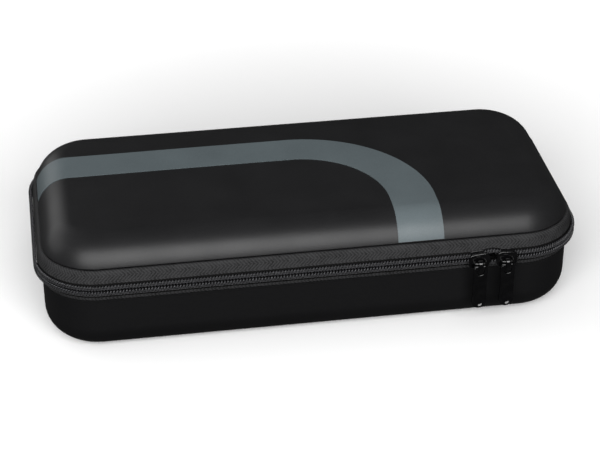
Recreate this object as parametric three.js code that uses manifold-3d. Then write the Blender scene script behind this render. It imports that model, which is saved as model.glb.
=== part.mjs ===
// A zippered hard-shell carry case for a golf launch monitor: two moulded EVA foam shells joined by a
// coil zip round three sides and a fabric hinge along the back, with two sliders that close nose to nose.
// Millimetres. +X runs along the case to the right, +Y to the back (hinge), +Z up. The origin is the
// middle of the flat underside.
import * as THREE from "three";
import { mergeVertices } from "three/addons/utils/BufferGeometryUtils.js";
import Module from "manifold-3d";

const wasm = await Module();
wasm.setup();

// ---------------------------------------------------------------- driving dimensions
const CASE_LENGTH = 270; // over the zip band, its widest line
const CASE_DEPTH = 127.5; // over the zip band
const CASE_HEIGHT = 60;
const CORNER_RADIUS = 32; // of the zip band, seen from above
const CORNER_STEPS = 6;
const CHAIN_Z = 37.9; // the line where the two coil rows meet
const ROW_GAP = 1.0; // between the two coil rows

const LID_RIM_Z = 47;
const LID_INSET = 5.4; // the lid's rim stands this far inside the zip band
// The rounded edge is an arc of an ellipse. It starts at this angle, so it still leans in at the rim.
const LID_SHOULDER = { across: 15.9, up: CASE_HEIGHT - LID_RIM_Z, from: THREE.MathUtils.degToRad(16) };
const BASE_RIM_Z = 29.4;
const BASE_INSET = 4.8;
const BASE_EDGE_RADIUS = 14;
const SHELL_WALL = 5; // EVA foam with its laminated skin
const LAYER_GAP = 0.2; // between layers that touch on the real case
const LINING = 0.8;

const TAPE = 0.7;
const COIL_WIDTH = 2.5; // of one row
const COIL_HEIGHT = 1.5;
const BINDING = 0.5;
const THREAD = { thick: 0.3, wide: 0.6 };
const HINGE_HALF_WIDTH = 72; // the fabric hinge runs this far each way along the back
const TAPE_END_GAP = 0.6;

const FOAM = { inset: 11.2, edgeRadius: 7.6, top: 31, pocketFloor: 10 };
const DEVICE_POCKET = { x0: -112, x1: 44, halfDepth: 42, radius: 12 };
const ACCESSORY_POCKET = { x0: 56, x1: 112, halfDepth: 42, radius: 12 };
const FINGER_NOTCH = { x: -34, y: 35, radius: 14 };

const POCKET = { inset: 12, bottom: 47.6, thick: 0.7, hemY: -6 }; // net pocket under the lid
const ELASTIC = { wide: 7.7, bottom: 47.2, thick: 1.6, gap: 0.3 };

const STRIPE = {
  straightFront: 8.2, // the stripe's two edges where it runs along the case
  arcCentre: [-2.3, -36],
  outerRadius: 64.5,
  innerRadiusX: 42,
  legFrontY: -80, // past the lid's front edge
  lift: 0.1,
  thick: 0.25,
};

const SLIDER_X = { left: 78.5, right: 92 };
const PLATE = { length: 10.4, head: 8.6, tail: 7.0, thick: 1.1, out: 0.4 };
const INNER_PLATE = { inset: 4.1, thick: 0.9, high: 4.8 };
const POST = { length: 3.2, thick: 0.6 };
// The outer plate's lips turn back towards the tape, outside the coil rows.
const LIP = { long: 3.8, middle: -0.5, inside: 3.4, thick: 0.6, back: -3.0 };
const BRIDGE = { barOut: 3.75, barRadius: 0.65, half: 3.7, leg: 1.2 };
const LINK = { wide: 2.4, holeRadius: 0.9, strap: 0.85, drop: 1.6 };
const PULL = { wide: 7.5, long: 23.6, thick: 1.2, bar: 0.6, holeWide: 3.9, holeBottom: 4.6, tip: 3.75 };

// ---------------------------------------------------------------- materials
const material = (color, roughness, metalness = 0) =>
  new THREE.MeshStandardMaterial({ color, roughness, metalness });
const SKIN = material("#212123", 0.62);
const STRIPE_FILM = material("#5d6668", 0.6);
const WOVEN = material("#2b2b2d", 0.85);
const NYLON = material("#1d1d1f", 0.5);
const FLEECE = material("#18181a", 0.95);
const RIBBON = material("#1a1a1c", 0.9);
const FOAM_BLACK = material("#1b1b1d", 0.95);
const NET = material("#151517", 0.9);
const PLATED_ZINC = material("#0c0c0d", 0.28, 0.8);

// ---------------------------------------------------------------- the case's outline, from above
const halfX = CASE_LENGTH / 2;
const halfY = CASE_DEPTH / 2;

// A station is a point of the zip band's outline with the outward normal there.
function corner(signX, signY, fromDegrees) {
  const stations = [];
  for (let i = 0; i <= CORNER_STEPS; i++) {
    const angle = THREE.MathUtils.degToRad(fromDegrees + (90 * i) / CORNER_STEPS);
    const nx = Math.cos(angle), ny = Math.sin(angle);
    stations.push({
      x: signX * (halfX - CORNER_RADIUS) + CORNER_RADIUS * nx,
      y: signY * (halfY - CORNER_RADIUS) + CORNER_RADIUS * ny,
      nx,
      ny,
    });
  }
  return stations;
}

// Round the case anticlockwise from the back left corner to the back right one.
const LOOP = [...corner(-1, 1, 90), ...corner(-1, -1, 180), ...corner(1, -1, 270), ...corner(1, 1, 0)];
const backStation = (x) => ({ x, y: halfY, nx: 0, ny: 1 });
const zipEnd = HINGE_HALF_WIDTH + TAPE_END_GAP;
const ZIP_RUN = [backStation(-zipEnd), ...LOOP, backStation(zipEnd)];
const HINGE_RUN = [backStation(HINGE_HALF_WIDTH), backStation(0), backStation(-HINGE_HALF_WIDTH)];

const placed = (station, [inset, z]) => [station.x - inset * station.nx, station.y - inset * station.ny, z];

// ---------------------------------------------------------------- surfaces
function geometryOf(points, triangles) {
  const geometry = new THREE.BufferGeometry();
  geometry.setAttribute("position", new THREE.Float32BufferAttribute(points.flat(), 3));
  geometry.setIndex(triangles.flat());
  return facingOut(geometry);
}

// Six times a closed mesh's volume is the sum of its corner triple products; below zero it is inside out.
function facingOut(geometry) {
  const p = geometry.getAttribute("position"), index = geometry.getIndex();
  const a = new THREE.Vector3(), b = new THREE.Vector3(), c = new THREE.Vector3();
  let sixVolumes = 0;
  for (let i = 0; i < index.count; i += 3) {
    [a, b, c].forEach((v, k) => v.fromBufferAttribute(p, index.getX(i + k)));
    sixVolumes += a.dot(b.cross(c));
  }
  if (sixVolumes < 0)
    for (let i = 0; i < index.count; i += 3) {
      const second = index.getX(i + 1);
      index.setX(i + 1, index.getX(i + 2));
      index.setX(i + 2, second);
    }
  return geometry;
}

// A closed section of [inset, z] points carried along a run of stations. A closed run has no ends.
function carried(run, section, closed = false) {
  const n = section.length, spans = closed ? run.length : run.length - 1;
  const points = run.flatMap((station) => section.map((point) => placed(station, point)));
  const triangles = [];
  for (let s = 0; s < spans; s++)
    for (let k = 0; k < n; k++) {
      const here = s * n, there = ((s + 1) % run.length) * n, next = (k + 1) % n;
      triangles.push([here + k, here + next, there + next], [here + k, there + next, there + k]);
    }
  if (!closed) triangles.push(...endFaces(section, (run.length - 1) * n));
  return geometryOf(points, triangles);
}

// The two end faces of a carried section. Triangulating turns every outline the same way, and the walls
// turn as the section does, so a clockwise section's end faces are turned over.
function endFaces(section, last) {
  const flat = section.map(([inset, z]) => new THREE.Vector2(inset, z));
  const clockwise = THREE.ShapeUtils.isClockWise(flat);
  return THREE.ShapeUtils.triangulateShape(flat, []).flatMap(([a, b, c]) => {
    const [p, q, r] = clockwise ? [a, c, b] : [a, b, c];
    return [[p, r, q], [last + p, last + q, last + r]];
  });
}

// A bowl: a chain of levels, each a full loop at [inset, z], from the middle outside to the middle inside.
function bowl(levels) {
  const n = LOOP.length;
  const points = levels.flatMap((level) => LOOP.map((station) => placed(station, level)));
  const triangles = [];
  for (let l = 0; l < levels.length - 1; l++)
    for (let k = 0; k < n; k++) {
      const a = l * n + k, b = l * n + ((k + 1) % n);
      triangles.push([a, b, b + n], [a, b + n, a + n]);
    }
  const last = (levels.length - 1) * n;
  for (let k = 1; k < n - 1; k++) triangles.push([0, k + 1, k], [last, last + k, last + k + 1]);
  return geometryOf(points, triangles);
}

// Points of a quarter ellipse round [centreInset, centreZ], from its side (0) to its top or bottom (1).
function shoulder(centreInset, centreZ, across, up, steps, from = 0) {
  const levels = [];
  for (let i = 0; i <= steps; i++) {
    const angle = from + ((Math.PI / 2 - from) * i) / steps;
    levels.push([centreInset - across * Math.cos(angle), centreZ + up * Math.sin(angle)]);
  }
  return levels;
}

// A strip of even thickness along a line of [inset, z] points.
function strip(line, thick) {
  const left = [], right = [];
  line.forEach(([x, z], i) => {
    const [x0, z0] = line[Math.max(i - 1, 0)], [x1, z1] = line[Math.min(i + 1, line.length - 1)];
    const length = Math.hypot(x1 - x0, z1 - z0);
    const nx = -(z1 - z0) / length, nz = (x1 - x0) / length;
    left.push([x + (nx * thick) / 2, z + (nz * thick) / 2]);
    right.unshift([x - (nx * thick) / 2, z - (nz * thick) / 2]);
  });
  return [...left, ...right];
}

const box = (inset0, inset1, z0, z1) => [[inset0, z0], [inset1, z0], [inset1, z1], [inset0, z1]];

// ---------------------------------------------------------------- joins and cuts
function solidOf(geometry) {
  const bare = geometry.clone();
  bare.deleteAttribute("normal");
  bare.deleteAttribute("uv");
  const merged = mergeVertices(bare, 1e-4);
  return new wasm.Manifold(
    new wasm.Mesh({
      numProp: 3,
      vertProperties: new Float32Array(merged.getAttribute("position").array),
      triVerts: new Uint32Array(merged.getIndex().array),
    }),
  );
}

function geometryFrom(solid) {
  const mesh = solid.getMesh();
  const geometry = new THREE.BufferGeometry();
  geometry.setAttribute("position", new THREE.BufferAttribute(mesh.vertProperties, 3));
  geometry.setIndex(new THREE.BufferAttribute(mesh.triVerts, 1));
  return geometry;
}

const joined = (...geometries) => geometries.map(solidOf).reduce((sum, next) => sum.add(next));

// ---------------------------------------------------------------- lid and base shells
const lidCentre = LID_INSET + LID_SHOULDER.across;
const lidHalfAcross = LID_SHOULDER.across / Math.cos(LID_SHOULDER.from);
const lidHalfUp = LID_SHOULDER.up / (1 - Math.sin(LID_SHOULDER.from));
const lidCentreZ = CASE_HEIGHT - lidHalfUp;
const lidDome = (layer, steps, from = LID_SHOULDER.from) =>
  shoulder(lidCentre, lidCentreZ, lidHalfAcross - layer, lidHalfUp - layer, steps, from);
const angleAtHeight = (layer, z) => Math.asin((z - lidCentreZ) / (lidHalfUp - layer));

const baseCentre = BASE_INSET + BASE_EDGE_RADIUS;
const baseEdge = (layer, steps) =>
  shoulder(baseCentre, BASE_EDGE_RADIUS, BASE_EDGE_RADIUS - layer, layer - BASE_EDGE_RADIUS, steps);

// Inside each rim a rebate takes the turned-in edge of the zip tape.
const LID_REBATE = { inset: 8.3, slope: 0.3, z: 51.5 };
const BASE_REBATE = { inset: 7.8, z: 22.7 };
const LID_LINING_FROM = LID_REBATE.z - 0.1;
const OUTER_STEPS = 7, INNER_STEPS = 5;

function lidShell() {
  const outside = lidDome(0, OUTER_STEPS).reverse();
  const ledge = LID_REBATE.z + LAYER_GAP;
  const inside = lidDome(SHELL_WALL, INNER_STEPS, angleAtHeight(SHELL_WALL, ledge));
  const rebate = [
    [LID_REBATE.inset, LID_RIM_Z],
    [LID_REBATE.inset + LID_REBATE.slope, LID_REBATE.z],
  ];
  return bowl([...outside, ...rebate, ...inside]);
}

function lidLining() {
  const outer = SHELL_WALL + LAYER_GAP, inner = outer + LINING;
  const outside = lidDome(outer, INNER_STEPS, angleAtHeight(outer, LID_LINING_FROM)).reverse();
  return bowl([...outside, ...lidDome(inner, INNER_STEPS, angleAtHeight(inner, LID_LINING_FROM))]);
}

function baseShell() {
  const outside = [...baseEdge(0, OUTER_STEPS).reverse(), [BASE_INSET, BASE_RIM_Z]];
  const rebate = [
    [BASE_REBATE.inset, BASE_RIM_Z],
    [BASE_REBATE.inset, BASE_REBATE.z],
    [BASE_INSET + SHELL_WALL, BASE_REBATE.z - LAYER_GAP],
  ];
  return bowl([...outside, ...rebate, ...baseEdge(SHELL_WALL, INNER_STEPS)]);
}

function baseLining() {
  const top = BASE_REBATE.z - 0.4;
  const outer = SHELL_WALL + LAYER_GAP, inner = outer + LINING;
  return bowl([
    ...baseEdge(outer, INNER_STEPS).reverse(),
    [BASE_INSET + outer, top],
    [BASE_INSET + inner, top],
    ...baseEdge(inner, INNER_STEPS),
  ]);
}

// The grey stripe: a film on the lid that runs along the back from the left end, turns through a quarter
// circle and comes down over the front. It is a thin copy of the lid's outside, cut to the stripe's outline.
function stripe() {
  const dome = bowl([
    ...lidDome(-STRIPE.lift - STRIPE.thick, OUTER_STEPS).reverse(),
    ...lidDome(-STRIPE.lift, OUTER_STEPS),
  ]);
  const [cx, cy] = STRIPE.arcCentre;
  const legRight = cx + STRIPE.outerRadius, legLeft = cx + STRIPE.innerRadiusX;
  const farLeft = -CASE_LENGTH;
  const outline = new THREE.Shape();
  outline.moveTo(farLeft, STRIPE.straightFront);
  outline.lineTo(cx, STRIPE.straightFront);
  const innerRadiusY = STRIPE.straightFront - cy;
  outline.absellipse(cx, cy, STRIPE.innerRadiusX, innerRadiusY, Math.PI / 2, 0, true);
  outline.lineTo(legLeft, STRIPE.legFrontY);
  outline.lineTo(legRight, STRIPE.legFrontY);
  outline.lineTo(legRight, cy);
  outline.absarc(cx, cy, STRIPE.outerRadius, 0, Math.PI / 2, false);
  outline.lineTo(farLeft, cy + STRIPE.outerRadius);
  const cutter = new THREE.ExtrudeGeometry(outline, {
    depth: CASE_HEIGHT,
    bevelEnabled: false,
    curveSegments: 14,
  });
  cutter.translate(0, 0, LID_RIM_Z + 0.2);
  return geometryFrom(solidOf(dome).intersect(solidOf(cutter)));
}

// ---------------------------------------------------------------- zip band
// Each tape hangs from its rim, leans out to the chain and carries one coil row on its outer face.
const UPPER_TAPE_LINE = [[2.95, CHAIN_Z + 0.8], [6.0, 46.1], [9.0, 46.45], [9.2, 51.0]];
const LOWER_TAPE_LINE = [[2.95, CHAIN_Z - 0.8], [5.4, 30.3], [8.4, 29.95], [8.4, 23.4]];

// A coil row's section: it lies on the tape's outer face, and its inner end is level at the chain.
function coilSection(line, up) {
  const [[x0, z0], [x1, z1]] = line;
  const length = Math.hypot(x1 - x0, z1 - z0);
  const along = [(x1 - x0) / length, (z1 - z0) / length];
  const out = [-Math.abs(along[1]), up * Math.abs(along[0])];
  const chainZ = CHAIN_Z + (up * ROW_GAP) / 2;
  const onTape = TAPE / 2 + 0.15;
  // The point at a height above the tape's middle where the line along the tape crosses the chain's level.
  const atChain = (height) => {
    const x = x0 + out[0] * height, z = z0 + out[1] * height;
    return [x + (along[0] / along[1]) * (chainZ - z), chainZ];
  };
  const outer = atChain(onTape + COIL_HEIGHT), inner = atChain(onTape);
  const outerEnd = [outer[0] + along[0] * COIL_WIDTH, outer[1] + along[1] * COIL_WIDTH];
  const innerEnd = [outerEnd[0] - out[0] * COIL_HEIGHT, outerEnd[1] - out[1] * COIL_HEIGHT];
  return [outer, outerEnd, innerEnd, inner];
}

const HINGE_THICK = 0.9;
const HINGE_LINE = [
  [9.2, 51.0], [9.0, 46.4], [6.0, 46.0], [0.6, CHAIN_Z], [5.4, 30.4], [8.4, 30.0], [8.4, 23.4],
];
const HINGE_LINING_LINE = [[10.45, 25], [10.45, 31], [2.4, 37.9], [11.0, 45.5], [11.3, 49.8]];
const BASE_BINDING = box(9.0, 9.0 + BINDING, 23, 30.6);
const LID_BINDING = box(9.9, 9.9 + BINDING, 46.3, 51.2);
const seam = (inset, z) => box(inset, inset + THREAD.thick, z, z + THREAD.wide);

// ---------------------------------------------------------------- inside
function pocketBlock({ x0, x1, halfDepth, radius }) {
  const shape = new THREE.Shape();
  shape.absarc(x1 - radius, halfDepth - radius, radius, 0, Math.PI / 2);
  shape.absarc(x0 + radius, halfDepth - radius, radius, Math.PI / 2, Math.PI);
  shape.absarc(x0 + radius, radius - halfDepth, radius, Math.PI, 1.5 * Math.PI);
  shape.absarc(x1 - radius, radius - halfDepth, radius, 1.5 * Math.PI, 2 * Math.PI);
  const block = new THREE.ExtrudeGeometry(shape, { depth: 40, bevelEnabled: false, curveSegments: 5 });
  return block.translate(0, 0, FOAM.pocketFloor);
}

function fingerNotch(side) {
  const notch = new THREE.CylinderGeometry(FINGER_NOTCH.radius, FINGER_NOTCH.radius, 40, 20);
  notch.rotateX(Math.PI / 2);
  return notch.translate(FINGER_NOTCH.x, side * FINGER_NOTCH.y, FOAM.pocketFloor + 8 + 20);
}

function foamInsert() {
  const side = shoulder(baseCentre, BASE_EDGE_RADIUS, FOAM.edgeRadius, -FOAM.edgeRadius, 4);
  let tray = solidOf(bowl([...side.reverse(), [FOAM.inset, FOAM.top]]));
  const cuts = [pocketBlock(DEVICE_POCKET), pocketBlock(ACCESSORY_POCKET), fingerNotch(1), fingerNotch(-1)];
  for (const cut of cuts) tray = tray.subtract(solidOf(cut));
  return geometryFrom(tray);
}

// The net pocket covers the back half of the lid's inside. Its front edge is free and has an elastic hem.
function netPanel() {
  const halfLength = halfX - POCKET.inset, back = halfY - POCKET.inset;
  const radius = CORNER_RADIUS - POCKET.inset;
  const shape = new THREE.Shape();
  shape.moveTo(halfLength, POCKET.hemY);
  shape.absarc(halfLength - radius, back - radius, radius, 0, Math.PI / 2);
  shape.absarc(radius - halfLength, back - radius, radius, Math.PI / 2, Math.PI);
  shape.lineTo(-halfLength, POCKET.hemY);
  const panel = new THREE.ExtrudeGeometry(shape, {
    depth: POCKET.thick,
    bevelEnabled: false,
    curveSegments: 5,
  });
  return panel.translate(0, 0, POCKET.bottom);
}

function pocketElastic() {
  const long = CASE_LENGTH - 2 * POCKET.inset;
  const hem = new THREE.BoxGeometry(long, ELASTIC.wide, ELASTIC.thick);
  return hem.translate(0, POCKET.hemY - ELASTIC.gap - ELASTIC.wide / 2, ELASTIC.bottom + ELASTIC.thick / 2);
}

// ---------------------------------------------------------------- sliders, links and pulls
// A slider's own frame: x along the chain towards its head, y outwards from the chain, z up.
function slab(shape, thick, y) {
  const made = new THREE.ExtrudeGeometry(shape, { depth: thick, bevelEnabled: false, curveSegments: 8 });
  made.rotateX(Math.PI / 2); // the shape's y becomes z, and the slab lies from y - thick to y
  return made.translate(0, y + thick, 0);
}

// A plate is widest at the slider's head, where the two rows part.
function plateShape(length, head, tail) {
  const half = length / 2;
  return new THREE.Shape([
    new THREE.Vector2(half, head / 2 - 1.6),
    new THREE.Vector2(half - 1.8, head / 2),
    new THREE.Vector2(half - 4.2, head / 2 - 0.2),
    new THREE.Vector2(-half + 0.8, tail / 2),
    new THREE.Vector2(-half, tail / 2 - 0.8),
    new THREE.Vector2(-half, -tail / 2 + 0.8),
    new THREE.Vector2(-half + 0.8, -tail / 2),
    new THREE.Vector2(half - 4.2, -head / 2 + 0.2),
    new THREE.Vector2(half - 1.8, -head / 2),
    new THREE.Vector2(half, -head / 2 + 1.6),
  ]);
}

function sliderBody() {
  const plateTop = PLATE.out + PLATE.thick;
  const outerPlate = slab(plateShape(PLATE.length, PLATE.head, PLATE.tail), PLATE.thick, PLATE.out);
  const innerTop = -INNER_PLATE.inset;
  const innerPlate = slab(
    plateShape(PLATE.length, INNER_PLATE.high, INNER_PLATE.high - 0.4),
    INNER_PLATE.thick,
    innerTop - INNER_PLATE.thick,
  );
  const postHigh = PLATE.out + 0.4 - (innerTop - 0.4);
  const post = new THREE.BoxGeometry(POST.length, postHigh, POST.thick);
  post.translate(PLATE.length / 2 - POST.length / 2 - 0.6, PLATE.out + 0.4 - postHigh / 2, 0);
  const bar = new THREE.CylinderGeometry(BRIDGE.barRadius, BRIDGE.barRadius, 2 * BRIDGE.half, 12);
  bar.rotateZ(Math.PI / 2).translate(0, BRIDGE.barOut, 0);
  const legHigh = BRIDGE.barOut - plateTop + 0.3;
  const legs = [-1, 1].map((side) => {
    const leg = new THREE.BoxGeometry(BRIDGE.leg, legHigh, 2 * BRIDGE.barRadius - 0.1);
    return leg.translate(side * (BRIDGE.half - BRIDGE.leg / 2), plateTop - 0.3 + legHigh / 2, 0);
  });
  const lipDeep = PLATE.out + 0.3 - LIP.back;
  const lips = [-1, 1].map((side) => {
    const lip = new THREE.BoxGeometry(LIP.long, lipDeep, LIP.thick);
    return lip.translate(LIP.middle, LIP.back + lipDeep / 2, side * (LIP.inside + LIP.thick / 2));
  });
  return geometryFrom(joined(outerPlate, innerPlate, post, bar, ...legs, ...lips));
}

// A closed loop in the y-z plane, round the bridge's bar above and the pull's bar below.
function stadium(radius, drop) {
  const path = new THREE.Shape();
  path.absarc(0, 0, radius, 0, Math.PI);
  path.absarc(0, -drop, radius, Math.PI, 2 * Math.PI);
  return path;
}

function pullLink() {
  const shape = stadium(LINK.holeRadius + LINK.strap, LINK.drop);
  shape.holes.push(stadium(LINK.holeRadius, LINK.drop));
  const link = new THREE.ExtrudeGeometry(shape, {
    depth: LINK.wide,
    bevelEnabled: false,
    curveSegments: 8,
  });
  // Shape x, y and depth become y, z and x.
  link.applyMatrix4(new THREE.Matrix4().set(0, 0, 1, -LINK.wide / 2, 1, 0, 0, 0, 0, 1, 0, 0, 0, 0, 0, 1));
  return link.translate(0, BRIDGE.barOut, 0);
}

// A flat tab with a rounded end, hung by a round bar above its eye. Its frame is the slider's.
function pullTab() {
  const half = PULL.wide / 2, top = -LINK.drop;
  const outline = new THREE.Shape();
  outline.moveTo(half - 0.5, top);
  outline.lineTo(half, top - 1.2);
  outline.lineTo(half - 0.35, top - PULL.long * 0.45);
  outline.lineTo(half, top - PULL.long + PULL.tip);
  outline.absarc(0, top - PULL.long + PULL.tip, PULL.tip, 0, -Math.PI, true);
  outline.lineTo(-half + 0.35, top - PULL.long * 0.45);
  outline.lineTo(-half, top - 1.2);
  outline.lineTo(-half + 0.5, top);
  const eye = new THREE.Path();
  const eyeHalf = PULL.holeWide / 2, eyeRound = 1.2;
  eye.moveTo(-eyeHalf, top + 1);
  eye.lineTo(-eyeHalf, top - PULL.holeBottom + eyeRound);
  eye.quadraticCurveTo(-eyeHalf, top - PULL.holeBottom, -eyeHalf + eyeRound, top - PULL.holeBottom);
  eye.lineTo(eyeHalf - eyeRound, top - PULL.holeBottom);
  eye.quadraticCurveTo(eyeHalf, top - PULL.holeBottom, eyeHalf, top - PULL.holeBottom + eyeRound);
  eye.lineTo(eyeHalf, top + 1);
  const tab = slab(outline, PULL.thick, BRIDGE.barOut - PULL.thick / 2);
  const eyeCut = slab(new THREE.Shape(eye.getPoints(4)), 6, BRIDGE.barOut - 3);
  const bar = new THREE.CylinderGeometry(PULL.bar, PULL.bar, PULL.wide - 1, 10);
  bar.rotateZ(Math.PI / 2).translate(0, BRIDGE.barOut, top);
  return geometryFrom(solidOf(tab).subtract(solidOf(eyeCut)).add(solidOf(bar)));
}

// ---------------------------------------------------------------- assembly
const part = new THREE.Group();
part.name = "launch_monitor_case";

function add(parent, name, geometry, look) {
  const mesh = new THREE.Mesh(geometry, look);
  mesh.name = name;
  parent.add(mesh);
}

const lid = new THREE.Group();
const base = new THREE.Group();
part.add(base, lid);

add(base, "base_shell", baseShell(), SKIN);
add(base, "base_lining", baseLining(), FLEECE);
add(base, "base_binding", carried(LOOP, BASE_BINDING, true), RIBBON);
add(base, "base_seam_thread", carried(LOOP, seam(9.6, 27), true), RIBBON);
add(base, "lower_zip_tape", carried(ZIP_RUN, strip(LOWER_TAPE_LINE, TAPE)), WOVEN);
add(base, "lower_zip_coil", carried(ZIP_RUN, coilSection(LOWER_TAPE_LINE, -1)), NYLON);
add(base, "foam_insert", foamInsert(), FOAM_BLACK);
add(base, "hinge_fabric", carried(HINGE_RUN, strip(HINGE_LINE, HINGE_THICK)), WOVEN);
add(base, "hinge_lining", carried(HINGE_RUN, strip(HINGE_LINING_LINE, 0.6)), FLEECE);

add(lid, "lid_shell", lidShell(), SKIN);
add(lid, "lid_stripe", stripe(), STRIPE_FILM);
add(lid, "lid_lining", lidLining(), FLEECE);
add(lid, "lid_binding", carried(LOOP, LID_BINDING, true), RIBBON);
add(lid, "lid_seam_thread", carried(LOOP, seam(10.5, 49), true), RIBBON);
add(lid, "upper_zip_tape", carried(ZIP_RUN, strip(UPPER_TAPE_LINE, TAPE)), WOVEN);
add(lid, "upper_zip_coil", carried(ZIP_RUN, coilSection(UPPER_TAPE_LINE, 1)), NYLON);
add(lid, "net_pocket", netPanel(), NET);
add(lid, "pocket_elastic", pocketElastic(), RIBBON);

// The left slider's head points right and the right one's points left, so that they close nose to nose.
for (const side of ["left", "right"]) {
  const slider = new THREE.Group();
  slider.position.set(SLIDER_X[side], -halfY, CHAIN_Z);
  // Turned so that the frame's y points out of the front; the left one's head then needs a half turn.
  const facing = new THREE.Group();
  facing.rotation.z = Math.PI;
  slider.add(facing);
  const body = sliderBody();
  if (side === "left") body.applyMatrix4(new THREE.Matrix4().makeRotationY(Math.PI));
  add(facing, "slider_" + side, body, PLATED_ZINC);
  add(facing, "pull_link_" + side, pullLink(), PLATED_ZINC);
  add(facing, "pull_tab_" + side, pullTab(), PLATED_ZINC);
  part.add(slider);
}

export default part;
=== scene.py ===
# %% [markdown]
# # A zippered hard-shell case for a launch monitor
# The case is two moulded EVA foam shells. A woven zip band joins them on three sides and a fabric hinge
# along the back. Everything soft or fine is made here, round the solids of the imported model.
# %% Load the frame
import math

import bpy
import numpy as np
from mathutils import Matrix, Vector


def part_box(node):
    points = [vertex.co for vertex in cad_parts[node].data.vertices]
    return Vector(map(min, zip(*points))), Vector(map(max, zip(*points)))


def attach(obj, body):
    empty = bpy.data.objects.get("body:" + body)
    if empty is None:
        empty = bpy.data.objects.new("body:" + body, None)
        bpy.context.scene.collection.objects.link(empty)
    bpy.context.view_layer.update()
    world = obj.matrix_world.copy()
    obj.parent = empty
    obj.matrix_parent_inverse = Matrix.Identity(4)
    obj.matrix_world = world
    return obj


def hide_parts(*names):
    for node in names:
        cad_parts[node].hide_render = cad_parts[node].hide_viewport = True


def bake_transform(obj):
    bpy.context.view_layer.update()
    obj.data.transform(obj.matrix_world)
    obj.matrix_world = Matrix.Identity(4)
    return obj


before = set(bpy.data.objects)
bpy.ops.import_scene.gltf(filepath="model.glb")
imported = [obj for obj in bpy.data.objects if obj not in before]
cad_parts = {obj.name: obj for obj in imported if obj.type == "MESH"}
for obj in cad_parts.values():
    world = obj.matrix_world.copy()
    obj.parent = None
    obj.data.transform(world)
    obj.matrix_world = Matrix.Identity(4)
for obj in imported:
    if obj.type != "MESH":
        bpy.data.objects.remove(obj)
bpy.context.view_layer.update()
MM = 0.001

# %% [markdown]
# ## Colours and nodes
# Colours are picked as sRGB hex values, which a shader wants as linear light. One helper adds any node:
# its settings are keyword arguments, and its inputs take either a number or another node's output.
# %% Colour, node and material helpers


def linear(hex_colour):
    """sRGB hex to linear RGBA: below 0.04045 divide by 12.92, above it ((c + 0.055) / 1.055) ** 2.4."""
    c = np.array([int(hex_colour[i:i + 2], 16) for i in (1, 3, 5)]) / 255
    c = np.where(c <= 0.04045, c / 12.92, ((c + 0.055) / 1.055) ** 2.4)
    return (*c.tolist(), 1.0)


def add(tree, kind, inputs=None, **settings):
    """Adds one node with its settings, and sets or links its inputs."""
    made = tree.nodes.new(kind)
    for key, value in settings.items():
        setattr(made, key, value)
    for key, value in (inputs or {}).items():
        if isinstance(value, bpy.types.NodeSocket):
            tree.links.new(value, made.inputs[key])
        else:
            made.inputs[key].default_value = value
    return made


def finish(name, **sockets):
    """A material with one Principled shader whose plain values are set on its own sockets."""
    material = bpy.data.materials.new(name)
    material.use_nodes = True
    tree = material.node_tree
    tree.nodes.clear()
    shader = add(tree, "ShaderNodeBsdfPrincipled", sockets)
    add(tree, "ShaderNodeOutputMaterial", {"Surface": shader.outputs[0]})
    return material, tree, shader


def sums(tree, operation, *values):
    """One Math node."""
    return add(tree, "ShaderNodeMath", dict(enumerate(values)), operation=operation).outputs[0]


def wave(tree, distance, length_mm):
    """A sine that makes one full turn in each length_mm of the distance."""
    return sums(tree, "SINE", sums(tree, "MULTIPLY", distance, 2 * math.pi / length_mm))


def millimetres(tree, source="Object"):
    """Coordinates in millimetres, from the object or from the piece's own UV map."""
    inputs = {0: add(tree, "ShaderNodeTexCoord").outputs[source], 1: (1000, 1000, 1000)}
    return add(tree, "ShaderNodeVectorMath", inputs, operation="MULTIPLY").outputs[0]


def noise(tree, where, size_mm, detail=2.0, rough=0.5):
    """A noise whose features are about size_mm across."""
    inputs = {"Vector": where, "Scale": 1 / size_mm, "Detail": detail, "Roughness": rough}
    return add(tree, "ShaderNodeTexNoise", inputs).outputs[0]


def paint(tree, shader, factor, low, high, dark, light):
    """Colours the shader: dark where the factor is low, light where it is high."""
    made = add(tree, "ShaderNodeValToRGB", {"Fac": factor})
    for element, position, colour in zip(made.color_ramp.elements, (low, high), (dark, light)):
        element.position = position
        element.color = linear(colour)
    tree.links.new(made.outputs[0], shader.inputs["Base Color"])


def spread(tree, factor, low, high):
    """A number from 0 to 1 stretched to run from low to high."""
    inputs = {"Value": factor, "To Min": low, "To Max": high}
    return add(tree, "ShaderNodeMapRange", inputs).outputs[0]


def bump(tree, shader, height, depth_mm, strength=1.0, under=None):
    """Bends the shader's normal by a height that is depth_mm deep."""
    inputs = {"Height": height, "Distance": depth_mm * MM, "Strength": strength}
    if under is not None:
        inputs["Normal"] = under
    made = add(tree, "ShaderNodeBump", inputs).outputs[0]
    tree.links.new(made, shader.inputs["Normal"])
    return made


# %% [markdown]
# ## The shells' skin
# Hard cases are pressed from EVA foam with a thin laminate glued to it. The laminate is a matte black
# polyurethane with a fine pebble grain. Its grain is about 0.4 mm, drawn at 0.9 mm so that it shows, and
# handling leaves faint smooth patches. The base's laminate is the lid's, painted a shade darker as painted
# shade on the base. The stripe is a printed film with the same grain.
# %% EVA laminate and stripe film


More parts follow.
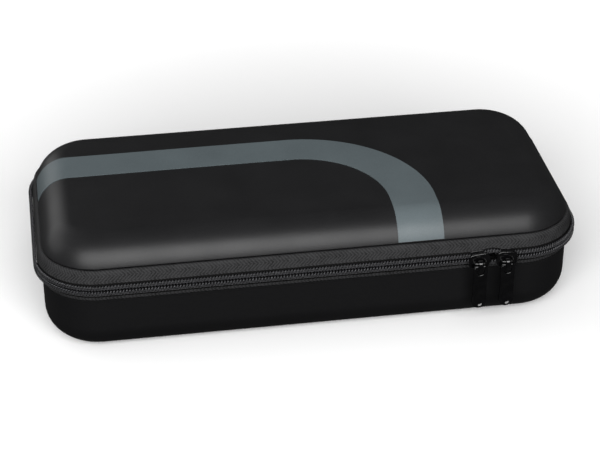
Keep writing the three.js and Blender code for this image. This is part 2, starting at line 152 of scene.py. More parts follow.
def eva_laminate(name, colour, light, roughness, grain_mm=0.9):
    """A fine and a broad noise mix the colour, the broad one sets the gloss, and pebbles bend the light."""
    material, tree, shader = finish(name, **{"IOR": 1.5, "Specular IOR Level": 0.29})
    where = millimetres(tree)
    grain = noise(tree, where, grain_mm, 3, 0.6)
    patches = noise(tree, where, 28, 3)
    blend = sums(tree, "ADD", sums(tree, "MULTIPLY", grain, 0.45), sums(tree, "MULTIPLY", patches, 0.55))
    paint(tree, shader, blend, 0.34, 0.66, colour, light)
    tree.links.new(spread(tree, patches, roughness + 0.06, roughness - 0.06), shader.inputs["Roughness"])
    pebbles = add(tree, "ShaderNodeTexVoronoi", {"Vector": where, "Scale": 1 / grain_mm}).outputs[0]
    soft = bump(tree, shader, noise(tree, where, 22, 1), 0.10)
    bump(tree, shader, pebbles, 0.030, 0.55, soft)
    return material


SKIN = eva_laminate("eva_laminate_black", "#161617", "#1e1e1f", 0.40)
# The base's skin is the lid's laminate painted darker: painted shade on the base.
SHADED_BASE_SKIN = eva_laminate("eva_laminate_black_painted_shade", "#0b0b0c", "#101011", 0.44)
STRIPE_FILM = eva_laminate("eva_printed_film_grey", "#4f575a", "#586164", 0.42, 0.7)

# %% [markdown]
# ## Zip tape
# Zip tape is woven polyester in a herringbone: diagonal ribs that turn back every few threads. The ribs
# are a sine of the distance along the tape plus a zigzag of the distance across it. Real ribs are about
# 0.6 mm apart, and 1.8 mm here so that they show. A second, finer sine gives the single threads. Beside
# the coil the tape is painted dark, as painted shade in the crease along the coil.
# %% Herringbone tape, nylon coil and sewing thread


def herringbone(name, dark, light, rib_mm=1.8, zigzag_mm=3.0, depth_mm=0.22, coil_shade_mm=0.0):
    """Ribs and threads are heights, and uneven yarn shades them. Next to the coil the tape is painted dark as
    shade.
    """
    material, tree, shader = finish(name, **{"Roughness": 0.8, "IOR": 1.45, "Specular IOR Level": 0.2})
    where = millimetres(tree, "UV")
    parts = add(tree, "ShaderNodeSeparateXYZ", {0: where}).outputs
    zigzag = sums(tree, "PINGPONG", parts[1], zigzag_mm)
    ribs = wave(tree, sums(tree, "ADD", parts[0], zigzag), rib_mm)
    threads = wave(tree, parts[1], 0.8)
    height = spread(tree, sums(tree, "ADD", ribs, sums(tree, "MULTIPLY", threads, 0.35)), 0.5, 0.87)
    fine = noise(tree, where, 0.7, 2)
    yarn = sums(tree, "ADD", fine, sums(tree, "MULTIPLY", noise(tree, where, 5, 2), 0.6))
    shade = sums(tree, "MULTIPLY", height, spread(tree, yarn, 0.0, 1.35))
    # The tape next to the coil is painted dark: painted shade in the crease along the coil.
    edge = {"Value": parts[1], "From Min": coil_shade_mm - 0.5, "From Max": coil_shade_mm}
    shade = sums(tree, "MULTIPLY", shade, add(tree, "ShaderNodeMapRange", edge).outputs[0])
    # Colour follows the ribs' height: painted shade in the grooves and painted light on the crests, with real
    # yarn unevenness.
    paint(tree, shader, shade, 0.28, 0.80, dark, light)
    bump(tree, shader, height, depth_mm)
    return material


def strand(name, dark, light, roughness, patch_mm):
    """A drawn or spun strand: slightly uneven in colour and gloss along its length."""
    material, tree, shader = finish(name, **{"IOR": 1.53})
    patches = noise(tree, millimetres(tree), patch_mm, 2)
    paint(tree, shader, patches, 0.35, 0.65, dark, light)
    tree.links.new(spread(tree, patches, roughness - 0.06, roughness + 0.08), shader.inputs["Roughness"])
    bump(tree, shader, patches, 0.02)
    return material


TAPE = herringbone("polyester_herringbone_tape", "#020202", "#343435", coil_shade_mm=2.4)
HINGE_CLOTH = herringbone("polyester_hinge_cloth", "#131314", "#38383a", 1.1, 6.0)
NYLON = strand("nylon_monofilament", "#18181a", "#3f3f42", 0.28, 0.6)
THREAD = strand("polyester_sewing_thread", "#141415", "#343436", 0.65, 0.5)

# %% [markdown]
# ## Inside cloths and foam
# The lining is a brushed tricot with fine ribs. Bindings are plain woven ribbon. The insert is cut
# closed-cell foam, whose cut cells show as tiny pits. The pocket is a knitted net with open holes, each
# about 1.5 mm across in life and 2.6 mm here, so that they show.
# %% Lining, ribbon, foam, net and elastic


def ribbed_cloth(name, dark, light, rib_mm, depth_mm, sheen):
    """Ribs are a sine of the distance along the cloth, under a fine fuzz."""
    material, tree, shader = finish(name, **{"Roughness": 0.92, "IOR": 1.48, "Sheen Weight": sheen,
                                             "Sheen Roughness": 0.45})
    where = millimetres(tree, "UV")
    ribs = wave(tree, add(tree, "ShaderNodeSeparateXYZ", {0: where}).outputs[0], rib_mm)
    fuzz = noise(tree, where, 0.9, 4, 0.65)
    height = sums(tree, "ADD", spread(tree, ribs, 0.25, 0.45), sums(tree, "MULTIPLY", fuzz, 0.6))
    # Colour follows the rib height: painted shade in the grooves between ribs.
    paint(tree, shader, height, 0.3, 0.95, dark, light)
    bump(tree, shader, height, depth_mm)
    return material


def cut_foam(name, dark, light, cell_mm=0.9):
    """Cut cells are pits whose middles are painted dark as shade, over a broad mottle."""
    material, tree, shader = finish(name, **{"Roughness": 0.95, "IOR": 1.45, "Specular IOR Level": 0.25})
    where = millimetres(tree)
    cells = add(tree, "ShaderNodeTexVoronoi", {"Vector": where, "Scale": 1 / cell_mm}).outputs[0]
    mottle = noise(tree, where, 9, 3)
    shade = sums(tree, "MULTIPLY", cells, spread(tree, mottle, 0.7, 1.3))
    paint(tree, shader, shade, 0.1, 0.9, dark, light)
    bump(tree, shader, cells, 0.12, 0.7)
    return material


def knitted_net(name, dark, light, hole_mm=3.6):
    """Round holes where a sine along times a sine across is large, and yarn everywhere else."""
    material, tree, shader = finish(name, **{"Roughness": 0.8, "IOR": 1.5, "Sheen Weight": 0.3})
    where = millimetres(tree, "UV")
    parts = add(tree, "ShaderNodeSeparateXYZ", {0: where}).outputs
    waves = [wave(tree, part, 2 * hole_mm) for part in parts[:2]]
    hole = sums(tree, "ABSOLUTE", sums(tree, "MULTIPLY", *waves))
    yarn = noise(tree, where, 0.6, 2)
    paint(tree, shader, yarn, 0.3, 0.7, dark, light)
    bump(tree, shader, sums(tree, "SUBTRACT", 1.0, hole), 0.15)
    tree.links.new(sums(tree, "LESS_THAN", hole, 0.42), shader.inputs["Alpha"])
    return material


LINING = ribbed_cloth("brushed_tricot_lining", "#19191a", "#333335", 0.9, 0.06, 0.5)
RIBBON = ribbed_cloth("woven_binding_ribbon", "#121213", "#2c2c2e", 0.8, 0.07, 0.2)
ELASTIC = ribbed_cloth("knitted_elastic", "#111112", "#303032", 1.4, 0.15, 0.2)
FOAM = cut_foam("closed_cell_foam_black", "#1c1c1d", "#424244")
# Near black: painted shade for the dark crease between each shell's rim and the tape.
CREASE_SHADE_FOAM = cut_foam("eva_foam_edge_crease_shade", "#030304", "#080809")
NET = knitted_net("knitted_polyester_net", "#2c2c2e", "#58585b")

# %% [markdown]
# ## Plated zinc
# Sliders and pulls are die-cast zinc, tumbled and then plated gloss black. The plating is smooth and
# nearly black, so it shows as small sharp glints. Sliding keeps the plate a little scuffed.
# %% Black plating


def black_plating(name):
    """Glossy near-black metal under a thin lacquer, with scuffs where a broad noise is high."""
    material, tree, shader = finish(name, **{"Metallic": 0.25, "Coat Weight": 0.35, "Coat Roughness": 0.15})
    where = millimetres(tree)
    scuffs = noise(tree, where, 4.0, 3, 0.6)
    paint(tree, shader, scuffs, 0.45, 0.75, "#050506", "#0b0b0c")
    tree.links.new(spread(tree, scuffs, 0.10, 0.24), shader.inputs["Roughness"])
    bump(tree, shader, noise(tree, where, 3.5, 2), 0.03)
    return material


PLATING = black_plating("zinc_black_plated")
print("materials", len(bpy.data.materials))

# %% [markdown]
# ## Surfaces from grids
# Every new piece is a grid of points: rows along one direction and columns along the other. Closed
# directions join their last line to their first, ends are capped with one face, and a dome's rows end in
# a pole. The signed volume tells whether a closed piece is inside out, and then its faces are turned.
# %% Grid to mesh


def new_object(name, data):
    """Puts an object with this mesh, lamp or camera in the scene."""
    made = bpy.data.objects.new(name, data)
    bpy.context.scene.collection.objects.link(made)
    return made


def signed_volume(points, faces):
    """A sixth of the sum of a . (b x c) over the two triangles of each four-cornered face."""
    a, b, c, d = (points[faces[:, k]] for k in range(4))
    pair = np.cross(b, c) + np.cross(c, d)
    return float((a * pair).sum() / 6)


def surface(name, grid, close_rows=False, close_columns=False, caps=False, poles=False, u=None, v=None,
            sharp_deg=None):
    """A mesh piece from grid[row, column]. u has a value for each column and v for each row, in metres."""
    rows, columns = grid.shape[:2]
    points = grid.reshape(-1, 3)
    row, column = np.arange(rows - (not close_rows)), np.arange(columns - (not close_columns))
    i, j = np.meshgrid(row, column, indexing="ij")
    corner_i = np.stack([i, i, i + 1, i + 1], -1).reshape(-1, 4)
    corner_j = np.stack([j, j + 1, j + 1, j], -1).reshape(-1, 4)
    quads = (corner_i % rows) * columns + corner_j % columns
    more = []
    if caps:
        first = np.arange(rows) * columns
        more += [first.tolist(), (first + columns - 1)[::-1].tolist()]
    if poles:
        top, bottom = len(points), len(points) + 1
        points = np.vstack([points, grid[0].mean(0), grid[-1].mean(0)])
        k = np.arange(columns)
        after = (k + 1) % columns
        last = (rows - 1) * columns
        more += np.stack([np.full(columns, top), after, k], 1).tolist()
        more += np.stack([np.full(columns, bottom), last + k, last + after], 1).tolist()
    faces = quads.tolist() + more
    if (close_rows or poles) and signed_volume(points, quads) < 0:
        faces = [f[::-1] for f in faces]
        corner_i, corner_j = corner_i[:, ::-1], corner_j[:, ::-1]
    mesh = bpy.data.meshes.new(name)
    mesh.from_pydata(points.tolist(), [], faces)
    if u is not None:
        layer = mesh.uv_layers.new(name="UVMap")
        uv = np.zeros((len(mesh.loops), 2), np.float32)
        uv[:corner_i.size, 0] = np.asarray(u)[corner_j].reshape(-1)
        uv[:corner_i.size, 1] = np.asarray(v)[corner_i].reshape(-1)
        layer.data.foreach_set("uv", uv.reshape(-1))
    mesh.shade_smooth()
    if sharp_deg:
        mesh.set_sharp_from_angle(angle=math.radians(sharp_deg))
    mesh.validate()
    return new_object(name, mesh)


def fit_out(piece, material, body, slot, *nodes):
    """Gives a piece its finish and its body, and hides the solids that it stands for. The slot is not used.
    """
    piece.data.materials.append(material)
    if body:
        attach(piece, body)
    if nodes:
        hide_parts(*nodes)
    print(piece.name, len(piece.data.polygons), "faces")
    return piece


# %% [markdown]
# ## The case's outline
# Seen from above, the zip band's widest line is a rounded rectangle. Walk round it from the middle of the
# back: the point is a corner's centre plus one radius along the outward normal. On a straight side only
# the centre moves, and on a corner only the normal turns, so both are straight-line functions of the
# distance walked. A smaller radius gives every line inside the band.
# %% Outline and carried sections
base_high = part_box("base_shell")[1]
lid_low, lid_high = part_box("lid_shell")
BASE_INSET = 4.8 * MM
CORNER = 32 * MM
HALF_X = base_high.x + BASE_INSET
HALF_Y = base_high.y + BASE_INSET
LID_INSET = HALF_X - lid_high.x
RUN_X, RUN_Y, QUARTER = HALF_X - CORNER, HALF_Y - CORNER, CORNER * math.pi / 2
STEPS = [0, RUN_X, QUARTER, 2 * RUN_Y, QUARTER, 2 * RUN_X, QUARTER, 2 * RUN_Y, QUARTER, RUN_X]
BREAKS = np.cumsum(STEPS)
PERIMETER = BREAKS[-1]
CENTRE_X = np.array([0, -1, -1, -1, -1, 1, 1, 1, 1, 0]) * RUN_X
CENTRE_Y = np.array([1, 1, 1, -1, -1, -1, -1, 1, 1, 1]) * RUN_Y
NORMAL = np.radians([90, 90, 180, 180, 270, 270, 360, 360, 450, 450])
FRONT_START = BREAKS[4] + RUN_X


def stations(s):
    """Corner centre and outward normal at each distance s along the outline from the middle of the back."""
    s = np.mod(s, PERIMETER)
    cx, cy, angle = (np.interp(s, BREAKS, line) for line in (CENTRE_X, CENTRE_Y, NORMAL))
    return cx, cy, np.cos(angle), np.sin(angle)


def directions(s):
    """Unit vectors along the outline and straight out of it at each distance s."""
    _, _, nx, ny = stations(s)
    return np.stack([-ny, nx, 0 * nx], 1), np.stack([nx, ny, 0 * nx], 1)


def carry(s, inset, z):
    """Points [row, column]: the corner centre plus (radius - inset) times the normal, at height z."""
    cx, cy, nx, ny = stations(s)
    inset, z = np.broadcast_arrays(inset, z)
    reach = CORNER - inset
    return np.stack([cx + reach * nx, cy + reach * ny, z + 0 * reach * nx], -1)


def round_trip(corner_steps=20, straight_mm=5.0):
    """Distances round the whole outline: even steps on each side and each corner."""
    pieces = []
    for k in range(len(BREAKS) - 1):
        length = BREAKS[k + 1] - BREAKS[k]
        count = corner_steps if k % 2 else max(2, round(length / (straight_mm * MM)))
        pieces.append(np.linspace(BREAKS[k], BREAKS[k + 1], count, endpoint=False))
    return np.concatenate(pieces)


def corner_cut(points, times=3, closed=False):
    """Rounds a line's corners: each pass keeps the points a quarter and three quarters along each side."""
    p = np.asarray(points, float)
    for _ in range(times):
        a, b = (p, np.roll(p, -1, 0)) if closed else (p[:-1], p[1:])
        cut = np.stack([0.75 * a + 0.25 * b, 0.25 * a + 0.75 * b], 1).reshape(-1, p.shape[1])
        p = cut if closed else np.vstack([p[:1], cut, p[-1:]])
    return p


def evenly(points, count):
    """The same line with count points at even distances."""
    p = np.asarray(points, float)
    walked = np.concatenate([[0], np.cumsum(np.linalg.norm(np.diff(p, axis=0), axis=1))])
    at = np.linspace(0, walked[-1], count)
    return np.stack([np.interp(at, walked, p[:, k]) for k in range(p.shape[1])], 1), at


def strip_section(points_mm, thick_mm, count):
    """A closed section: the line pushed out by half the thickness on one side and back on the other. Its two
    ends are pinched to about a third. Also gives the distance along the line at each of its points."""
    line, at = evenly(corner_cut(points_mm) * MM, count)
    along = np.gradient(line, axis=0)
    normal = np.stack([-along[:, 1], along[:, 0]], 1) / np.linalg.norm(along, axis=1)[:, None]
    half = np.full((count, 1), thick_mm * MM / 2)
    half[[0, -1]] *= 0.35
    left, right = line + normal * half, line - normal * half
    return np.vstack([left, right[::-1]]), np.concatenate([at, at[::-1]])


print("outline", round(PERIMETER, 4), "m round")

# %% [markdown]
# ## The two shells
# Each shell is pressed in a mould, so its wall is even and its edges are soft. Its section runs from the
# middle outside, over the rounded edge, round the rim and back up the inside, and is carried round the
# outline. The flat middle is closed by shrinking the last ring to a pole. The lid's edge is an arc of an
# ellipse that starts a little above its widest point. Both rims are cut back inside for the bindings, and
# at both a ring for the foam's cut edge is coloured near black, as painted shade for the crease beside
# the tape.
# %% Lid and base shells
WALL = 5.0 * MM
LID_RIM = lid_low.z
TOP = lid_high.z
LID_FROM = math.radians(16)
LID_ACROSS = 15.9 * MM / math.cos(LID_FROM)
LID_UP = (TOP - LID_RIM) / (1 - math.sin(LID_FROM))
LID_CENTRE_Z = TOP - LID_UP
BASE_RIM = base_high.z + 0.5 * MM
BASE_EDGE = 14.0 * MM
LID_REBATE, BASE_REBATE = 51.7 * MM, 22.5 * MM
SKIN_LOW, SKIN_ROUND = LID_RIM + 0.5 * MM, LID_RIM + 1.2 * MM


def quarter(centre_inset, centre_z, across, up, count, start=0.0):
    """A quarter ellipse from its side to its top: inset = centre - across cos a, z = centre + up sin a."""
    a = np.linspace(start, math.pi / 2, count)
    return np.stack([centre_inset - across * np.cos(a), centre_z + up * np.sin(a)], 1)


def shrinking(ring, count, crown=0.0):
    """Copies of a flat ring shrunk evenly to its middle, raised by crown times (1 - factor squared)."""
    f = np.linspace(1, 0.03, count)[1:, None]
    rings = ring * f[..., None]
    rings[..., 2] = ring[0, 2] + crown * (1 - f ** 2)
    return rings


def bowl(name, outside, inside, crown=0.0):
    """Outside section, rim and inside section as rings, with shrinking rings over both flat middles."""
    section = np.vstack([outside, inside])
    wall = carry(ROUND, section[:, :1], section[:, 1:])
    grid = np.concatenate([shrinking(wall[0], 9, crown)[::-1], wall, shrinking(wall[-1], 9, crown)])
    return surface(name, grid, close_columns=True, poles=True)


def lid_arc(layer, count, from_z=None):
    """The lid's rounded edge, a layer inside its skin: the arc starts at LID_FROM or at the height from_z."""
    up = LID_UP - layer
    start = LID_FROM if from_z is None else math.asin((from_z - LID_CENTRE_Z) / up)
    return quarter(LID_CENTRE, LID_CENTRE_Z, LID_ACROSS - layer, up, count, start)


def crease_shade_ring(name, outer, inner, low, high):
    """The foam's cut edge as painted crease shade: a rounded rectangle between two insets and two heights,
    round the case.
    """
    middle = (outer + inner) / 2
    section = corner_cut([[middle, high], [outer, high], [outer, low], [inner, low], [inner, high],
                          [middle, high]], 2)[:-1]
    return surface(name, carry(ROUND, section[:, :1], section[:, 1:]), close_rows=True, close_columns=True)


ROUND = round_trip()
CROWN = 0.3 * MM
LID_CENTRE = LID_INSET + LID_ACROSS * math.cos(LID_FROM)
lid_out = lid_arc(0, 26, SKIN_ROUND)[::-1]
lid_rim = corner_cut([lid_out[-1], lid_arc(0, 2, SKIN_LOW)[0], [LID_INSET + 1.4 * MM, SKIN_LOW],
                      [8.0 * MM, SKIN_LOW], [8.3 * MM, SKIN_LOW + 0.5 * MM],
                      [8.6 * MM, LID_REBATE - 0.2 * MM]])
lid_in = lid_arc(WALL, 14, LID_REBATE)
lid_shell = bowl("lid_eva_shell", lid_out, np.vstack([lid_rim[1:], lid_in]), CROWN)
fit_out(lid_shell, SKIN, "lid", "eva_skin", "lid_shell")
lid_edge = crease_shade_ring("lid_foam_edge_crease_shade", LID_INSET + 0.6 * MM, 8.0 * MM, LID_RIM - 0.2 * MM, SKIN_ROUND)
fit_out(lid_edge, CREASE_SHADE_FOAM, "lid", "foam")

BASE_CENTRE = BASE_INSET + BASE_EDGE
base_out = quarter(BASE_CENTRE, BASE_EDGE, BASE_EDGE, -BASE_EDGE, 22)[::-1]
wall_z = np.linspace(BASE_EDGE + 3 * MM, BASE_RIM - 0.6 * MM, 5)
base_wall = np.stack([np.full(5, BASE_INSET), wall_z], 1)
base_rim = corner_cut([[BASE_INSET, BASE_RIM - 0.4 * MM], [BASE_INSET + 0.4 * MM, BASE_RIM],
                       [7.5 * MM, BASE_RIM], [7.8 * MM, BASE_RIM - 0.4 * MM],
                       [7.8 * MM, BASE_REBATE + 0.2 * MM], [BASE_INSET + WALL, BASE_REBATE]], 2)
base_in = quarter(BASE_CENTRE, BASE_EDGE, BASE_EDGE - WALL, WALL - BASE_EDGE, 12)
base_shell = bowl("base_eva_shell", np.vstack([base_out, base_wall]), np.vstack([base_rim, base_in]))
fit_out(base_shell, SHADED_BASE_SKIN, "base", "eva_skin", "base_shell")
base_edge = crease_shade_ring("base_foam_edge_crease_shade", BASE_INSET - 0.2 * MM, 7.6 * MM, BASE_RIM - 0.8 * MM,
                     BASE_RIM + 0.6 * MM)
fit_out(base_edge, CREASE_SHADE_FOAM, "base", "foam")

# %% [markdown]
# ## The stripe
# The stripe is a film pressed flush into the lid. It comes up over the left edge, runs along the case,
# turns through a quarter circle and goes down over the front edge. Its outer side is an arc of one
# radius and its inner side a quarter ellipse, and every line between them is a mix of the two.
# %% Stripe film
STRIPE_FRONT, STRIPE_TURN_X, STRIPE_TURN_Y = 8.2 * MM, -2.3 * MM, -36 * MM
STRIPE_OUTER, STRIPE_INNER_X = 64.5 * MM, 42 * MM
FILM_TOP, FILM_UNDER = 0.25 * MM, -0.2 * MM


def stripe_line(mix, lift):
    """One line along the stripe: over the left edge, straight, a quarter turn, straight, over the front."""
    edge = lid_arc(-lift, 20, SKIN_ROUND)
    y_straight = STRIPE_FRONT + mix * (STRIPE_TURN_Y + STRIPE_OUTER - STRIPE_FRONT)
    radius_x = STRIPE_INNER_X + mix * (STRIPE_OUTER - STRIPE_INNER_X)
    x_leg, radius_y = STRIPE_TURN_X + radius_x, y_straight - STRIPE_TURN_Y

    def on_top(x, y):
        """Points at the film's height over the lid's flat top."""
        return np.stack([x, y, np.full(x.shape, TOP + lift)], 1)

    left = np.stack([edge[:, 0] - HALF_X, np.full(len(edge), y_straight), edge[:, 1]], 1)
    x = np.linspace(edge[-1, 0] - HALF_X, STRIPE_TURN_X, 16)[1:]
    turn = np.linspace(math.pi / 2, 0, 40)[1:]
    arc = on_top(STRIPE_TURN_X + radius_x * np.cos(turn), STRIPE_TURN_Y + radius_y * np.sin(turn))
    y = np.linspace(STRIPE_TURN_Y, edge[-1, 0] - HALF_Y, 4)[1:]
    front = np.stack([np.full(len(edge), x_leg), edge[:, 0] - HALF_Y, edge[:, 1]], 1)[::-1][1:]
    top = np.vstack([on_top(x, np.full(x.shape, y_straight)), arc, on_top(np.full(y.shape, x_leg), y)])
    inside = 1 - np.hypot(top[:, 0] / (HALF_X - LID_CENTRE), top[:, 1] / (HALF_Y - LID_CENTRE))
    top[:, 2] += CROWN * np.sqrt(np.clip(inside, 0, 1))
    return np.vstack([left, top, front])


mixes = np.linspace(0, 1, 11)
film_top, film_under = (np.stack([stripe_line(m, lift) for m in mixes]) for lift in (FILM_TOP, FILM_UNDER))
stripe = surface("lid_stripe_film", np.concatenate([film_top, film_under[::-1]]), close_rows=True, caps=True,
                 sharp_deg=50)
fit_out(stripe, STRIPE_FILM, "lid", "stripe_film", "lid_stripe")

# %% [markdown]
# ## The zip band
# The two tapes are sewn into the rims and lean out to the chain. The upper one bulges before it turns in
# under the lid. Where the two sliders meet nose to nose the rows part round the sliders' posts and leave
# a small eye. The parting is a bell curve of the distance from the eye, and it fades out across the tape
# towards the rim. On the lower tape the painted shade beside the coil reaches further.
# %% Zip tapes
CHAIN = (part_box("lower_zip_coil")[1].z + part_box("upper_zip_coil")[0].z) / 2
HINGE_HALF = 72.6 * MM
SLIDER_BOXES = {side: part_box("slider_" + side) for side in ("left", "right")}
SLIDER_AT = {side: (low.x + high.x) / 2 for side, (low, high) in SLIDER_BOXES.items()}
EYE = FRONT_START + (SLIDER_AT["left"] + SLIDER_AT["right"]) / 2
EYE_HALF, EYE_OPEN = 8.5 * MM, 1.75 * MM
TAPE_LINES = {
    1: [[2.95, 38.7], [3.7, 43.2], [4.2, 45.9], [4.8, 46.8], [5.7, 46.7], [6.3, 45.9], [9.0, 45.9],
        [9.2, 51.0]],
    -1: [[2.95, 37.1], [4.0, 32.1], [4.2, 31.15], [8.4, 31.1], [8.4, 23.4]],
}
TAPE_THICK_MM = 0.7
# Moves the weave and its painted shade; on the lower tape the shade beside the coil reaches 1.6 mm further.
WEAVE_AND_SHADE_SHIFT = {1: 0.0, -1: -1.6 * MM}
NAMES = {1: "upper", -1: "lower"}
BODIES = {1: "lid", -1: "base"}


def parting(s):
    """How far a row stands off the chain at the eye: a squared cosine bell, EYE_OPEN at its middle."""
    reach = np.clip(np.abs(s - EYE) / EYE_HALF, 0, 1)
    return EYE_OPEN * np.cos(reach * math.pi / 2) ** 2


def zip_run(step_mm):
    """Distances along the zip, from one end of the hinge round the front to the other."""
    length = PERIMETER - 2 * HINGE_HALF
    return np.linspace(HINGE_HALF, PERIMETER - HINGE_HALF, int(length / (step_mm * MM)))


def tape(side):
    """The tape's section carried along the zip; its chain edge follows the parting and ripples a little."""
    section, at = strip_section(TAPE_LINES[side], TAPE_THICK_MM, 34)
    s = zip_run(1.6)
    lean = np.array(TAPE_LINES[side][1]) - np.array(TAPE_LINES[side][0])
    lean = lean / np.linalg.norm(lean)
    free = np.clip(1 - at / (7.5 * MM), 0, 1)[:, None]
    push = free * parting(s)[None]
    ripple = 0.12 * MM * np.sin(s / (9.0 * MM)) * np.sin(math.pi * np.clip(at / (8 * MM), 0, 1))[:, None]
    inset = section[:, :1] + push * lean[0] - ripple
    z = section[:, 1:] + push * lean[1]
    weave = np.append(at, at[0]) + WEAVE_AND_SHADE_SHIFT[side]
    piece = surface(NAMES[side] + "_tape", carry(s, inset, z), close_rows=True, caps=True, u=s, v=weave)
    return piece, at.max(), s[-1] - s[0]


for side in (1, -1):
    cloth, tape_wide, tape_long = tape(side)
    fit_out(cloth, TAPE, BODIES[side], "woven_tape", NAMES[side] + "_zip_tape")
    print(NAMES[side], "tape", round(tape_wide * 1000, 1), "by", round(tape_long * 1000), "mm")

# %% [markdown]
# ## The coil
# Each row is one long nylon thread wound flat: a helix whose turns are ovals. Its outer legs slant across
# the row and its heads reach just past the middle, where the other row's heads sit between them. The row
# is a tube along that helix, so each turn is real. Two lines of sewing thread hold it to the tape.
# %% Coil rows and their stitching
PITCH = 1.5 * MM
FILAMENT = 0.38 * MM
ROW_WIDE, ROW_HIGH = 2.5 * MM, 1.5 * MM
LEG_SLANT = 0.9
HEAD_PAST = 0.10 * MM


def whole_turn(count):
    """Angles of count even steps round a circle."""
    return np.linspace(0, 2 * math.pi, count, endpoint=False)


def squared(wave, power):
    """A sine or cosine pushed towards a square wave: its size to a power below one, with its sign."""
    return np.sign(wave) * np.abs(wave) ** power


def row_frame(side):
    """Where the tape's outer face meets the chain, and the directions along the tape and out of it."""
    (x0, z0), (x1, z1) = np.array(TAPE_LINES[side][:2]) * MM
    along = np.array([x1 - x0, z1 - z0]) / math.hypot(x1 - x0, z1 - z0)
    out = np.array([-abs(along[1]), side * abs(along[0])])
    foot = np.array([x0, z0]) + along * (CHAIN - z0) / along[1]
    return foot + out * 0.45 * MM, along, out


def tube(path, side_way, radius, sides):
    """A tube: at each point of the path, a circle in the plane square to the path."""
    forward = np.gradient(path, axis=0)
    forward /= np.linalg.norm(forward, axis=1)[:, None]
    across = side_way - (side_way * forward).sum(1)[:, None] * forward
    across /= np.linalg.norm(across, axis=1)[:, None]
    up = np.cross(forward, across)
    turn = whole_turn(sides)
    ring = np.cos(turn)[:, None, None] * across + np.sin(turn)[:, None, None] * up
    return path + ring * np.asarray(radius)[..., None]


def along_row(side, s, a, h):
    """Points at distance s along the zip, a from the chain along the tape and h out from the tape."""
    foot, along, out = row_frame(side)
    away = a + parting(s)
    return carry(s, foot[0] + along[0] * away + out[0] * h, foot[1] + along[1] * away + out[1] * h)


def coil(side):
    """A flattened helix: across by a cosine, out by a sine, and along by the angle plus a slant."""
    turns = int((PERIMETER - 2 * HINGE_HALF - 4 * MM) / PITCH)
    angle = np.linspace(0, turns * 2 * math.pi, turns * 12 + 1) + (math.pi if side < 0 else 0)
    s = HINGE_HALF + 2 * MM + PITCH * (angle - side * LEG_SLANT * np.cos(angle)) / (2 * math.pi)
    half_wide = (ROW_WIDE + HEAD_PAST) / 2 - FILAMENT
    a = half_wide + FILAMENT - HEAD_PAST - half_wide * squared(np.cos(angle), 0.75)
    h = ROW_HIGH / 2 + (ROW_HIGH / 2 - FILAMENT) * squared(np.sin(angle) * side, 0.75)
    thread = tube(along_row(side, s, a, h), directions(s)[0], FILAMENT, 6)
    return surface(NAMES[side] + "_coil", thread, close_rows=True, caps=True)


def sewing(side, a_mm, number):
    """One line of sewing thread over the coil, dipping between the turns."""
    s = zip_run(PITCH / MM / 4)[4:-4]
    h = ROW_HIGH + 0.02 * MM + 0.13 * MM * np.cos(2 * math.pi * s / PITCH)
    thread = tube(along_row(side, s, np.full(s.shape, a_mm * MM), h), directions(s)[1], 0.15 * MM, 5)
    return surface(f"{NAMES[side]}_coil_thread_{number}", thread, close_rows=True, caps=True)


for side in (1, -1):
    fit_out(coil(side), NYLON, BODIES[side], "nylon_coil", NAMES[side] + "_zip_coil")
    for number, a_mm in enumerate((1.0, 1.9)):
        fit_out(sewing(side, a_mm, number), THREAD, BODIES[side], "ribbon")

# %% [markdown]
# ## Linings
# A brushed lining is laminated inside each shell. It follows the shell's inside at a fifth of a
# millimetre, so it is made by the same section one layer further in.
# %% Lid and base linings
LAYER, CLOTH = 0.2 * MM, 0.8 * MM


def lining(name, outer, inner, s):
    """A thin closed skin between two sections, with shrinking rings over the flat middle."""
    section = np.vstack([outer[::-1], inner])
    grid = carry(s, section[:, :1], section[:, 1:])
    whole = np.concatenate([shrinking(grid[0], 30)[::-1], grid, shrinking(grid[-1], 30)])
    steps = np.linalg.norm(np.diff(whole[:, 0], axis=0), axis=1)
    at = np.concatenate([[0], np.cumsum(steps)])
    return surface(name, whole, close_columns=True, poles=True, u=np.append(s, PERIMETER), v=at)


def cloth_area(piece):
    """Half of the piece's whole surface, for a skin with two faces and hardly any edge."""
    mesh = piece.data
    areas = np.zeros(len(mesh.polygons))
    mesh.polygons.foreach_get("area", areas)
    return areas.sum() / 2


def base_layer(depth, count, top_z=22.3 * MM):
    """The base's inside section a depth inside its skin: a short wall and the rounded lower edge."""
    edge = quarter(BASE_CENTRE, BASE_EDGE, BASE_EDGE - depth, depth - BASE_EDGE, count)
    return np.vstack([[[BASE_INSET + depth, top_z]], edge])


outer, inner = WALL + LAYER, WALL + LAYER + CLOTH
lid_sections = (lid_arc(layer, 16, 51.4 * MM) for layer in (outer, inner))
lid_lining = lining("lid_tricot_lining", *lid_sections, ROUND)
base_lining = lining("base_tricot_lining", base_layer(outer, 18), base_layer(inner, 18), ROUND)
for piece, body in ((lid_lining, "lid"), (base_lining, "base")):
    fit_out(piece, LINING, body, "fleece_lining", body + "_lining")
    area = cloth_area(piece)
    print(piece.name, "flat area", round(area, 4), "m2")

# %% [markdown]
# ## Bindings and their seams
# A ribbon covers each sewn edge inside, and one seam of lock stitches holds it. A lock stitch shows as a
# row of short bars that dive into the cloth, so the thread is one tube whose height follows the root of a
# sine between holes.
# %% Bindings and seams
STITCH = 3.2 * MM


def binding(name, inset_mm, thick_mm, low_mm, high_mm):
    """An upright strip section between two heights, carried round the case."""
    middle = inset_mm + thick_mm / 2
    section, at = strip_section([[middle, low_mm], [middle, high_mm]], thick_mm, 12)
    s = round_trip(16, 5)
    grid = carry(s, section[:, :1], section[:, 1:])
    return surface(name, grid, close_rows=True, close_columns=True, u=np.append(s, PERIMETER),
                   v=np.append(at, at[0]))


